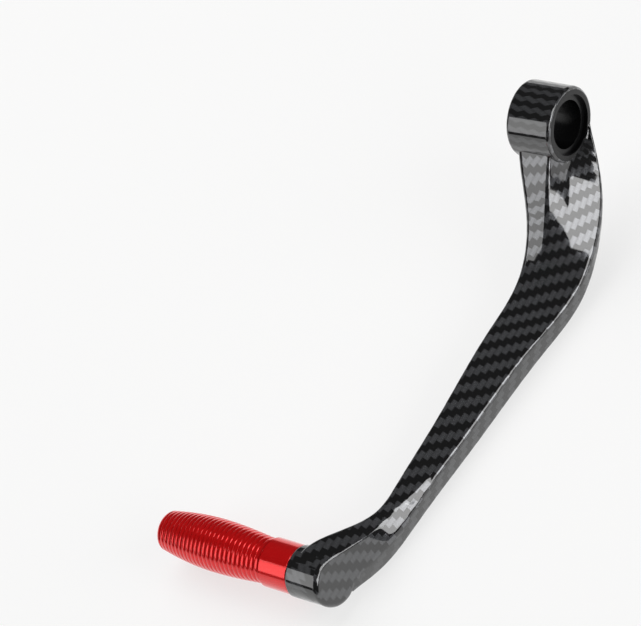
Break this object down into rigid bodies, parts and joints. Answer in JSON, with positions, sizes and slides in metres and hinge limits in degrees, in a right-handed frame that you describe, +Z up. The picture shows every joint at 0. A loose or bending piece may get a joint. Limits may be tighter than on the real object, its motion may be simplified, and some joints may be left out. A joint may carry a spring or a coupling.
{
  "type": "brake lever guard",
  "caption": "Bar-end brake lever guard: a bent, twisting arm with an eye for the bar end and a turned, ribbed grip screwed to its tip.",
  "frame": {"origin": "middle of the cap's seat in the eye, on the axis of the eye's bore", "axes": "+X along the eye's bore, inwards to the grip's side; +Y forward along the arm; +Z up, with the arm's lower edge lying level"},
  "size_m": [0.1055, 0.2062, 0.0621],
  "materials": {
    "arm": "moulded plastic with a carbon-twill print under clear lacquer",
    "grip": "turned and anodised red",
    "screw": "plain steel socket screw"
  },
  "bodies": {
    "root": {"guard_arm": "arm", "end_grip": "grip", "grip_screw": "screw"}
  },
  "joints": []
}
